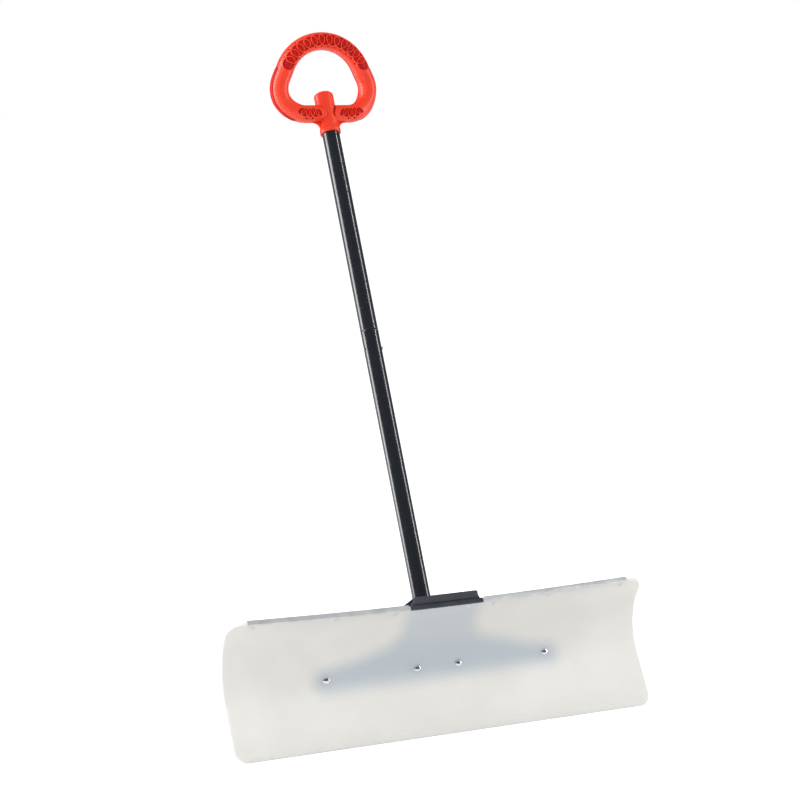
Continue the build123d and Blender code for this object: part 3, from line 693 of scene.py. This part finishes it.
def lower_tube_point(angle, position, edge, inner):
    """Point on the lower tube's skin or bore, with a low bead rolled near its mouth."""
    start, end = lower_tube_ends
    bore = tube_radius - tube_wall
    bead_height, bead_place, bead_reach = 0.35 * MM, end - 2.6 * MM, 2.2 * MM
    if inner:
        return on_handle(position, bore + end_round(end - position, 0.3 * MM), angle)
    bead = bead_height * smooth(1 - abs(bead_place - position) / bead_reach)
    drawn = end_round(end - position, 0.9 * MM) + end_round(position - start, 0.6 * MM)
    drawn += end_round(max(edge, 0.0), 0.35 * MM)
    return on_handle(position, tube_radius + bead - drawn, angle)


def make_lower_tube():
    start, end = lower_tube_ends
    rows = joined(
        spaced(start, start + 1 * MM, 0.2 * MM), spaced(start + 1 * MM, hole_low, 25 * MM),
        spaced(hole_low, hole_high, hole_step), spaced(hole_high, end - 6 * MM, 8 * MM),
        spaced(end - 6 * MM, end - 1 * MM, 0.5 * MM), spaced(end - 1 * MM, end, 0.15 * MM),
    )
    points, faces = perforated(tube_angles, rows, button_hole_edge, lower_tube_point, wraps=True)
    make_piece("lower_handle_tube", points, faces, "root", "black_tube_gloss", ["lower_tube"], 50)


def upper_tube_point(angle, position, edge, inner):
    """Point on the upper tube, whose lower end is drawn down to a spigot with a tapered tip."""
    bore_taper, tip_taper, tip_depth = 7 * MM, 2 * MM, 0.8 * MM
    if inner:
        narrow, wide = spigot_radius - spigot_wall, tube_radius - tube_wall
        return on_handle(position, mix(narrow, wide, smooth((position - joint_place) / bore_taper)), angle)
    if position < joint_place:
        radius = spigot_radius - tip_depth * max(0.0, 1 - (position - spigot_start) / tip_taper)
        return on_handle(position, radius - end_round(max(edge, 0.0), 0.3 * MM), angle)
    return on_handle(position, tube_radius - end_round(position - joint_place, 1.1 * MM), angle)


def make_upper_tube():
    tip_end = spigot_start + 3 * MM
    shoulder = joint_place - 0.05 * MM
    rows = joined(
        spaced(spigot_start, tip_end, 0.5 * MM), spaced(tip_end, hole_low, 15 * MM),
        spaced(hole_low, hole_high, hole_step), spaced(hole_high, shoulder, 8 * MM), [shoulder, joint_place],
        spaced(joint_place, joint_place + 1.2 * MM, 0.15 * MM),
        spaced(joint_place + 1.2 * MM, joint_place + 8 * MM, 1 * MM),
        spaced(joint_place + 8 * MM, upper_tube_end, 25 * MM),
    )
    points, faces = perforated(tube_angles, rows, button_hole_edge, upper_tube_point, wraps=True)
    make_piece("upper_handle_tube", points, faces, "upper_handle", "black_tube_gloss", ["upper_tube"], 50)


# ---- grip

grip_lean = handle_lean - grip_forward_tilt
grip_origin = on_handle(grip_cross_place)
grip_front = Vector((0, -cos(grip_lean), sin(grip_lean)))
grip_up = Vector((0, sin(grip_lean), cos(grip_lean)))


def half_loop_lengths():
    """Lengths of base, lobe arc, straight run and half the crown arc, and the crown arc's first angle."""
    rise = lobe_height - crown_height
    distance = hypot(lobe_side, rise)
    turn = atan2(rise, lobe_side) + acos((crown_radius - lobe_radius) / distance)
    straight = sqrt(distance ** 2 - (crown_radius - lobe_radius) ** 2)
    lobe_arc, crown_arc = lobe_radius * (pi / 2 + turn), crown_radius * (pi / 2 - turn)
    return lobe_side, lobe_arc, straight, crown_arc, turn


loop_base, loop_lobe, loop_straight, loop_crown, loop_turn = half_loop_lengths()
loop_half = loop_base + loop_lobe + loop_straight + loop_crown


def loop_place(run):
    """Side, height and heading of the loop's middle line, at a run from the middle of its base."""
    if run > loop_half:
        side, height, heading = loop_place(2 * loop_half - run)
        return -side, height, -heading
    if run < loop_base:
        return run, lobe_height - lobe_radius, 0.0
    if run < loop_base + loop_lobe:
        angle = (run - loop_base) / lobe_radius - pi / 2
        side, height = lobe_side + lobe_radius * cos(angle), lobe_height + lobe_radius * sin(angle)
        return side, height, angle + pi / 2
    if run < loop_base + loop_lobe + loop_straight:
        along = run - loop_base - loop_lobe
        side = lobe_side + lobe_radius * cos(loop_turn) - along * sin(loop_turn)
        height = lobe_height + lobe_radius * sin(loop_turn) + along * cos(loop_turn)
        return side, height, loop_turn + pi / 2
    angle = loop_turn + (run - loop_half + loop_crown) / crown_radius
    return crown_radius * cos(angle), crown_height + crown_radius * sin(angle), angle + pi / 2


def run_from_base(run):
    """Run counted from the base on the nearer side of the loop."""
    return min(run, 2 * loop_half - run)


def both_sides(half):
    """Runs of one half of the loop, up to the crown's middle, with the same runs down the other half."""
    return half + [2 * loop_half - run for run in reversed(half[:-1])]


def loop_forward(run):
    """Distance of the middle line in front of the grip's plane."""
    share = smooth((sweep_end - run_from_base(run)) / (sweep_end - sweep_start))
    return (lobe_radius - lobe_height) * tan(grip_forward_tilt) * share


def loop_point(run, angle, inset, depth):
    """Point across the loop at a run: angle 0 is in front and 90 degrees is outside the loop."""
    side, height, heading = loop_place(run)
    outward = across * sin(heading) - grip_up * cos(heading)
    middle = grip_origin + across * side + grip_up * height + grip_front * loop_forward(run)
    beside = outward * ((grip_side_radius - inset) * sin(angle))
    return middle + beside + grip_front * ((depth - inset) * cos(angle))


def girth(angle):
    """Length round the front of the section from straight ahead to an angle."""
    steps = 12
    total = 0.0
    for step in range(steps):
        middle = angle * (step + 0.5) / steps
        total += hypot(grip_side_radius * cos(middle), grip_front_depth * sin(middle)) / steps
    return total * angle


# Lattice: overlapping rings over each window, with small round holes where two rings part.
ring_width = 1.7 * MM
ring_lift = 0.5 * MM
dot_radius = 1.5 * MM
lattice_depth = 1.6 * MM
insert_depth = 1.9 * MM
insert_thickness = 3 * MM
crown_last = 6
crown_pitch = 14.5 * MM
crown_ring = 12.5 * MM
crown_dot_height = 15.4 * MM
crown_middle = girth(radians(9))
crown_lattice_start = 100 * MM
crown_insert_angles = (-36, 54)
lobe_last = 2
lobe_start = 40.6 * MM
lobe_pitch = 8.5 * MM
lobe_ring = (7.4 * MM, 9.8 * MM)
lobe_end_share = 0.78
lobe_dot_height = 12.2 * MM
lobe_middle = girth(radians(-9))
lobe_insert_angles = (-43, 25)


def ring_distance(along, up, wide, tall):
    """Signed distance from a ring's centre line, of half width `wide` and half height `tall`."""
    mean = (wide + tall) / 2
    return (hypot(along / wide, up / tall) - 1) * mean


def crown_rings(run, up):
    """Signed distances from the nearest crown rings, and distance to the nearest dot."""
    along = run - loop_half
    nearest = min(max(round(along / crown_pitch), -crown_last), crown_last)
    rings = [ring_distance(along - index * crown_pitch, up, crown_ring, crown_ring)
             for index in (nearest - 1, nearest, nearest + 1) if abs(index) <= crown_last]
    between = min(max(round(along / crown_pitch - 0.5), -crown_last), crown_last - 1) + 0.5
    return rings, hypot(along - between * crown_pitch, abs(up) - crown_dot_height)


def lobe_rings(run, up):
    """The same for the lobe patches, whose rings fan out around the lobe's middle."""
    along = (run - lobe_start) / (1 + up / lobe_radius)
    rings = []
    for index in range(-lobe_last, lobe_last + 1):
        share = lobe_end_share if abs(index) == lobe_last else 1.0
        wide, tall = lobe_ring[0] * share, lobe_ring[1] * share
        rings.append(ring_distance(along - index * lobe_pitch, up, wide, tall))
    return rings, hypot(abs(along) - lobe_pitch / 2, up - lobe_dot_height)


def lattice_at(run, across_run):
    """(edge, ridge) of the lattice: the distance into solid material, and the nearest ring's distance."""
    if run_from_base(run) > crown_lattice_start:
        rings, dot = crown_rings(run, across_run - crown_middle)
    else:
        rings, dot = lobe_rings(run_from_base(run), across_run - lobe_middle)
    ridge = min(abs(distance) for distance in rings)
    return min(max(min(rings), ring_width / 2 - ridge), dot - dot_radius), ridge


def opening_edge(run, angle):
    """Distance from the hourglass opening over the neck, less than zero inside it."""
    far_away, narrowing = 1.0, 1.7
    if run_from_base(run) > 2 * neck_radius:
        return far_away
    side, height, heading = loop_place(run)
    up = height - cos(heading) * grip_side_radius * sin(angle) - (lobe_height - lobe_radius)
    side += sin(heading) * grip_side_radius * sin(angle)
    share = min(abs(up) / grip_side_radius, 1.0)
    return abs(side) - mix(neck_opening_waist, neck_opening_end, share ** narrowing)


def strip_edge(run, angle):
    """Distance outside the strip where the rear shell wraps round the lobe's outer side."""
    first, last = strip_ends
    beyond = max(first - run_from_base(run), run_from_base(run) - last)
    return max(beyond, (strip_angle - angle) * grip_side_radius)


def front_solid(run, angle):
    lattice_edge, _ = lattice_at(run, girth(angle))
    return min(lattice_edge, opening_edge(run, angle), strip_edge(run, angle) - strip_gap)


def front_point(run, angle, edge, inner):
    """Point on the front shell, thin round the windows, with raised rings and softened edges."""
    thin_border, edge_drop, edge_reach = 6 * MM, 0.45 * MM, 0.5 * MM
    lattice_edge, ridge = lattice_at(run, girth(angle))
    if inner:
        near = lattice_edge < thin_border
        return loop_point(run, angle, lattice_depth if near else grip_wall, grip_front_depth)
    drop = edge_drop * max(0.0, 1 - max(edge, 0.0) / edge_reach) ** 2
    crest = max(0.0, 1 - (ridge / (ring_width / 2)) ** 2)
    seam = end_round((pi / 2 - abs(angle)) * grip_side_radius, seam_round)
    return loop_point(run, angle, drop + seam - ring_lift * crest, grip_front_depth)


def make_front_shell():
    """Front half of the loop, with steps fine enough for the rings in both windows."""
    fine, plain = 0.55 * MM, 3.2 * MM
    lobe_end = lobe_start + 3.2 * lobe_pitch
    crown_start = loop_half - 7 * crown_pitch
    half = joined(
        spaced(base_gap, lobe_end, fine), spaced(lobe_end, crown_start, plain),
        spaced(crown_start, loop_half, fine),
    )
    runs = both_sides(half)
    angles = joined(
        spaced(-90, -86, 1), spaced(-86, -50, 4), spaced(-50, 62, 1.7), spaced(62, 86, 4), spaced(86, 90, 1))
    angles = [radians(angle) for angle in angles]
    points, faces = perforated(runs, angles, front_solid, front_point)
    make_piece("grip_front_cover", points, faces, "upper_handle", "orange_plastic", ["grip_front_shell"], 50)


def screw_places():
    """(side, height, forward) of the four grip screws in the grip's plane."""
    places = []
    for angle in grip_screw_angles:
        run = loop_base + lobe_radius * (pi / 2 + angle)
        side, height, _ = loop_place(run)
        places += [(side, height, loop_forward(run)), (-side, height, loop_forward(run))]
    return places


def rear_solid(run, angle):
    """Distance inside the rear shell, which has a wrapped strip in front and four screw holes behind."""
    side, height, heading = loop_place(run)
    outward = grip_side_radius * sin(angle)
    side += sin(heading) * outward
    height -= cos(heading) * outward
    edge = max((angle - pi / 2) * grip_side_radius, -strip_edge(run, angle))
    if radians(130) < angle < radians(230):
        holes = [hypot(side - hole_side, height - hole_height) - well_radius
                 for hole_side, hole_height, _ in screw_places()]
        edge = min(edge, *holes)
    return edge


def rear_point(run, angle, edge, inner):
    """Point on the rear shell, with the strip standing a little proud of the front shell."""
    depth = grip_rear_depth if angle > pi / 2 else grip_front_depth
    if inner:
        return loop_point(run, angle, grip_wall, depth)
    first, last = strip_ends
    beyond = min(run_from_base(run) - first, last - run_from_base(run))
    proud = strip_proud * smooth(beyond / (3 * MM)) * smooth((radians(170) - angle) / radians(50))
    seam = end_round(max((radians(270) - angle) * grip_side_radius, 0.0), seam_round)
    return loop_point(run, angle, end_round(max(edge, 0.0), 0.6 * MM) + seam - proud, depth)


def make_rear_shell():
    """Rear half of the loop, with fine steps at the screws and at the strip's two ends."""
    past_screws = loop_base + lobe_radius * (pi / 2 + grip_screw_angles[0]) + 5 * MM
    first, last = strip_ends
    half = joined(
        spaced(base_gap, first - 1 * MM, 3 * MM), spaced(first - 1 * MM, past_screws, 0.7 * MM),
        spaced(past_screws, last - 4 * MM, 3.2 * MM), spaced(last - 4 * MM, last + 2 * MM, 0.5 * MM),
        spaced(last + 2 * MM, loop_half, 3.2 * MM),
    )
    runs = both_sides(half)
    angles = joined(spaced(degrees(strip_angle) - 2, 94, 1), spaced(94, 130, 4), spaced(130, 230, 2.4),
                    spaced(230, 266, 4), spaced(266, 270, 1))
    points, faces = perforated(runs, [radians(angle) for angle in angles], rear_solid, rear_point)
    make_piece("grip_rear_cover", points, faces, "upper_handle", "dark_red_plastic", ["grip_rear_shell"], 50)


def make_insert(name, node, first, last, angle_ends):
    """Dark insert close under a window's lattice."""
    def place(run, angle, edge, inner):
        return loop_point(run, angle, insert_depth + insert_thickness * inner, grip_front_depth)

    low, high = angle_ends
    runs = spaced(first, last, 2 * MM)
    angles = spaced(radians(low), radians(high), radians(4))
    points, faces = perforated(runs, angles, lambda run, angle: 1.0, place)
    make_piece(name, points, faces, "upper_handle", "dark_red_plastic", [node], 50)


def make_inserts():
    whole = 2 * loop_half
    reach = 6.1 * crown_pitch + crown_ring
    make_insert("crown_lattice_insert", "grip_crown_insert", loop_half - reach, loop_half + reach,
                crown_insert_angles)
    first, last = 18.2 * MM, lobe_start + 3.6 * lobe_pitch
    make_insert("right_lattice_insert", "grip_right_insert", first, last, lobe_insert_angles)
    make_insert("left_lattice_insert", "grip_left_insert", whole - last, whole - first, lobe_insert_angles)


def make_gussets():
    """Webs with a hollow curved edge between the neck and the undersides of both lobes."""
    reach, fall, half_thickness = 15 * MM, 14 * MM, 4 * MM
    sunk_in_neck, sunk_in_lobe = neck_radius - 2 * MM, 4 * MM
    curve_start = neck_radius - 0.4 * MM
    line_height = 0.3 * MM
    under = lobe_height - lobe_radius - grip_side_radius
    curve = [radians(90) * step / 12 for step in range(13)]
    outline = [(sunk_in_neck, under + sunk_in_lobe), (sunk_in_neck, under - fall)]
    outline += [(curve_start + reach * (1 - cos(angle)), under - fall * (1 - sin(angle))) for angle in curve]
    outline.append((neck_radius + reach, under + sunk_in_lobe))
    count = len(outline)
    web_faces = two_sided([tuple(range(count))], count)
    points, faces = [], []
    for side in (-1, 1):
        first = len(points)
        for ahead in (half_thickness, -half_thickness):
            for out, height in outline:
                forward = ahead - (height + line_height) * tan(grip_forward_tilt)
                points.append(grip_origin + across * (side * out) + grip_up * height + grip_front * forward)
        faces += [tuple(first + k for k in face[::side]) for face in web_faces]
    gussets = make_piece("grip_neck_gussets", points, faces, "upper_handle", "orange_plastic")
    add_bevel(gussets, 0.8 * MM, 2, 40)


def make_screw_wells():
    """Moulded tubes round the four screws, from the rear skin to where the heads sit."""
    rear_skin, head_seat, seat_front = 15.5 * MM, 9 * MM, 7 * MM
    corners = [(well_radius, rear_skin), (well_radius, head_seat), (screw_hole_radius, head_seat),
               (screw_hole_radius, seat_front), (well_outer_radius, seat_front),
               (well_outer_radius, rear_skin)]
    profile = rounded(corners, 0.2 * MM, 2)
    points, faces = [], []
    for side, height, forward in screw_places():
        middle = grip_origin + across * side + grip_up * height + grip_front * forward

        def place(position, radius, angle, middle=middle):
            beside = across * (radius * cos(angle)) + grip_up * (radius * sin(angle))
            return middle - grip_front * position + beside

        more, more_faces = lathe(profile, place, 40)
        faces += [tuple(len(points) + k for k in face) for face in more_faces]
        points += more
    make_piece("grip_screw_wells", points, faces, "upper_handle", "dark_red_plastic")


def make_neck():
    """Neck with a flared, rounded rim below and a closed rounded top."""
    bore = tube_radius + 0.1 * MM
    rim_round, rim_top, taper = 0.9 * MM, neck_start + 5 * MM, 9 * MM
    top_round, nearly_middle = 6 * MM, 0.2 * MM
    profile = [(bore, neck_start)]
    profile += [(neck_rim_radius - distance, neck_start + lost)
                for distance, lost in corner_rows(rim_round, 3)]
    profile += [(neck_rim_radius, rim_top)]
    profile += [(mix(neck_rim_radius, neck_radius, smooth(share)), rim_top + taper * share)
                for share in (0.1, 0.2, 0.35, 0.5, 0.65, 0.8, 0.9, 1.0)]
    profile += [(neck_radius - lost, neck_end - distance) for distance, lost in corner_rows(top_round, 8)]
    profile += [(6 * MM, neck_end + 0.25 * MM), (nearly_middle, neck_end + 0.4 * MM)]
    profile += [(nearly_middle, upper_tube_end + 0.6 * MM), (bore, upper_tube_end + 0.5 * MM)]
    points, faces = lathe(profile, on_handle, 112)
    make_piece("grip_neck_cover", points, faces, "upper_handle", "orange_plastic", ["grip_neck"], 50)


# ---- all pieces

make_blade()
inner_end, outer_end = rail_ends
make_edge_channel("left_edge_rail", -outer_end, -inner_end, rail_leg, "bare_aluminium", "top_rail_left")
make_edge_channel("right_edge_rail", inner_end, outer_end, rail_leg, "bare_aluminium", "top_rail_right")
make_edge_channel("bracket_lip_cap", -waist_half_width, waist_half_width, 0, "black_powder_coat",
                  "bracket_edge_cap")
make_bracket_plate()
make_lower_tube()
make_upper_tube()
make_front_shell()
make_rear_shell()
make_screw_wells()
make_inserts()
make_neck()
make_gussets()


# ---- parts kept as they are

slot_of = {row["node"]: row["material_slot"] for row in frame["record"]["subparts"]}
pressed_nodes = ("handle_saddle", "side_web_left", "side_web_right", "blade_bolt_nuts", "saddle_nuts",
                 "saddle_bolts", "blade_bolt_washers")
for node_name, node in frame["nodes"].items():
    node.data.materials.clear()
    node.data.materials.append(surfaces[slot_of[node_name]])
    if node_name in pressed_nodes:
        weld = node.modifiers.new("joined_points", "WELD")
        weld.merge_threshold = 0.001 * MM
        add_bevel(node, 0.35 * MM, 2, 40)


# ---- studio

camera_place = Vector((-1.3644, -2.8657, 1.0886))
camera_heading = Vector((0.39919, 0.90208, -0.16401))
lit_place = Vector((0, 0.2, 0.55))
toward_camera = -Vector((camera_heading.x, camera_heading.y, 0)).normalized()
to_right = Vector((-toward_camera.y, toward_camera.x, 0))


def add_camera():
    """Camera to the left of the blade's front and above it, looking a little down."""
    data = bpy.data.cameras.new("camera")
    data.lens = 89.5
    data.sensor_width = 36.0
    data.clip_end = 100.0
    camera = bpy.data.objects.new("camera", data)
    camera.location = camera_place
    camera.rotation_mode = "QUATERNION"
    camera.rotation_quaternion = camera_heading.to_track_quat("-Z", "Y")
    bpy.context.scene.collection.objects.link(camera)
    bpy.context.scene.camera = camera


def add_light(name, turn, height, distance, size, energy, mirrored=True):
    """Soft box aimed at the handle's middle, `turn` degrees to the right of the camera's side."""
    angle = radians(turn)
    data = bpy.data.lights.new(name, "AREA")
    data.shape = "RECTANGLE"
    data.size, data.size_y = size
    data.energy = energy
    light = bpy.data.objects.new(name, data)
    light.location = lit_place + (toward_camera * cos(angle) + to_right * sin(angle)) * distance
    light.location.z = height
    light.visible_glossy = mirrored
    light.rotation_mode = "QUATERNION"
    light.rotation_quaternion = (lit_place - light.location).to_track_quat("-Z", "Y")
    bpy.context.scene.collection.objects.link(light)


def add_world():
    """White studio room: plain white to the camera, softer as a light, and dim in reflections."""
    world = bpy.data.worlds.new("studio")
    world.use_nodes = True
    tree = world.node_tree
    tree.nodes.clear()
    room = add_node(tree, "ShaderNodeBackground", {"Color": (1, 1, 1, 1), "Strength": 0.70})
    dim = add_node(tree, "ShaderNodeBackground", {"Color": (0.9, 0.95, 1, 1), "Strength": 0.16})
    seen = add_node(tree, "ShaderNodeBackground", {"Color": (1, 1, 1, 1), "Strength": 1.0})
    path = add_node(tree, "ShaderNodeLightPath").outputs
    soft_mix = {0: path["Is Glossy Ray"], 1: room.outputs[0], 2: dim.outputs[0]}
    soft = add_node(tree, "ShaderNodeMixShader", soft_mix)
    whole_mix = {0: path["Is Camera Ray"], 1: soft.outputs[0], 2: seen.outputs[0]}
    whole = add_node(tree, "ShaderNodeMixShader", whole_mix)
    end = add_node(tree, "ShaderNodeOutputWorld")
    tree.links.new(whole.outputs[0], end.inputs["Surface"])
    bpy.context.scene.world = world


def add_floor():
    """Pale floor that reads white to the camera and throws back less light than it shows."""
    reach, below_part = 40.0, 0.5 * MM
    mesh = bpy.data.meshes.new("floor")
    corners = [(-reach, -reach, 0), (reach, -reach, 0), (reach, reach, 0), (-reach, reach, 0)]
    mesh.from_pydata(corners, [], [(0, 1, 2, 3)])
    material, tree, shader = new_surface("pale_floor", roughness=0.8)
    mottle = noise_field(tree, coordinates(tree), 0.4, 3)
    color = blend_colors(tree, mottle, (0.75, 0.75, 0.75), (0.78, 0.78, 0.78))
    tree.links.new(color, shader.inputs["Base Color"])
    shader.inputs["Emission Color"].default_value = (1, 1, 1, 1)
    path = add_node(tree, "ShaderNodeLightPath").outputs
    glow = remap(tree, path["Is Camera Ray"], 0.1, 0.62)
    tree.links.new(glow, shader.inputs["Emission Strength"])
    mesh.materials.append(material)
    floor = bpy.data.objects.new("floor", mesh)
    floor.location.z = -below_part
    bpy.context.scene.collection.objects.link(floor)


add_camera()
add_world()
add_floor()
add_light("left_soft_box", -98, 1.3, 2.6, (1.1, 3.4), 80)
add_light("right_strip", 96, 1.3, 2.6, (0.24, 3.4), 36)
add_light("high_front_box", -35, 2.9, 2.2, (1.8, 1.8), 33, False)
add_light("high_rear_box", 160, 2.6, 2.4, (2.0, 1.6), 7, False)
bpy.context.scene.view_settings.view_transform = "Standard"
bpy.context.view_layer.update()
